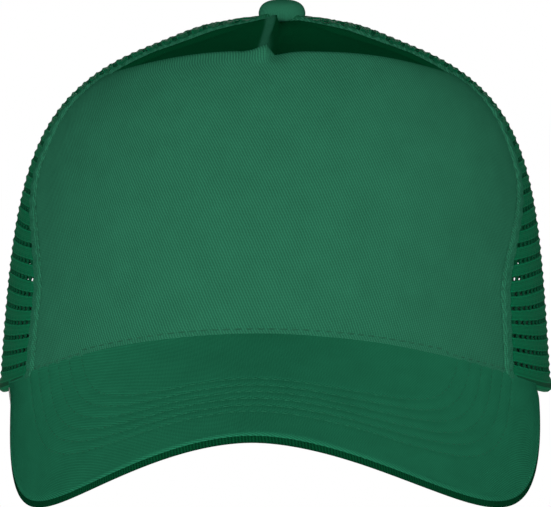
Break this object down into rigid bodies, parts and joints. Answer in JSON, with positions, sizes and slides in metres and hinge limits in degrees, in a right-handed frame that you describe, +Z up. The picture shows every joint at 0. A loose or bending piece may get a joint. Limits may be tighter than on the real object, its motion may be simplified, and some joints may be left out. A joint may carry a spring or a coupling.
{
  "type": "trucker mesh cap",
  "caption": "Trucker cap with a one-piece twill front, mesh sides and back, a bent stitched brim, a covered top button and a snap strap at the back.",
  "frame": {"origin": "centre of the head opening, in the plane of the lower edge at the sides and back", "axes": "+Z up towards the button; the wearer looks along -Y, where the brim is; +X is the wearer's left"},
  "size_m": [0.178, 0.2702, 0.1519],
  "materials": {
    "front_twill": "matte cotton-blend twill",
    "buckram": "matte stiffened open weave",
    "mesh": "satin knitted nylon mesh",
    "tape": "matte woven tape",
    "sweatband": "matte brushed cotton",
    "label": "satin woven label, blank",
    "brim_twill": "matte cotton-blend twill",
    "brim_board": "matte polyethylene sheet",
    "strap_plastic": "satin moulded plastic",
    "button_cloth": "matte cotton-blend twill",
    "button_metal": "satin stamped metal"
  },
  "bodies": {
    "crown": {"front_panel": "front_twill", "front_backing": "buckram", "side_mesh_left": "mesh", "side_mesh_right": "mesh", "rear_mesh_left": "mesh", "rear_mesh_right": "mesh", "front_seam_tape_left": "tape", "front_seam_tape_right": "tape", "side_seam_tape_left": "tape", "side_seam_tape_right": "tape", "centre_back_tape": "tape", "rear_opening_binding": "tape", "sweatband": "sweatband", "size_label": "label", "brim_top_cover": "brim_twill", "brim_board": "brim_board", "brim_under_cover": "brim_twill", "hole_strap_tab": "strap_plastic", "stud_strap_tab": "strap_plastic", "button_cover": "button_cloth", "button_shell": "button_metal", "button_post": "button_metal", "button_washer": "button_metal"},
    "hole_strap_blade": {"hole_strap": "strap_plastic"},
    "stud_strap_blade": {"stud_strap": "strap_plastic"}
  },
  "joints": [
    {"name": "hole_strap_bend", "type": "hinge", "parent": "crown", "child": "hole_strap_blade", "pos_m": [0.04157, 0.08941, 0.0105], "axis": [0, 0, -1], "range_deg": [0, 90], "stiffness_Nm_per_rad": 0.01},
    {"name": "stud_strap_bend", "type": "hinge", "parent": "crown", "child": "stud_strap_blade", "pos_m": [-0.041, 0.08835, 0.0105], "axis": [0, 0, -1], "range_deg": [0, 45], "stiffness_Nm_per_rad": 0.01}
  ]
}
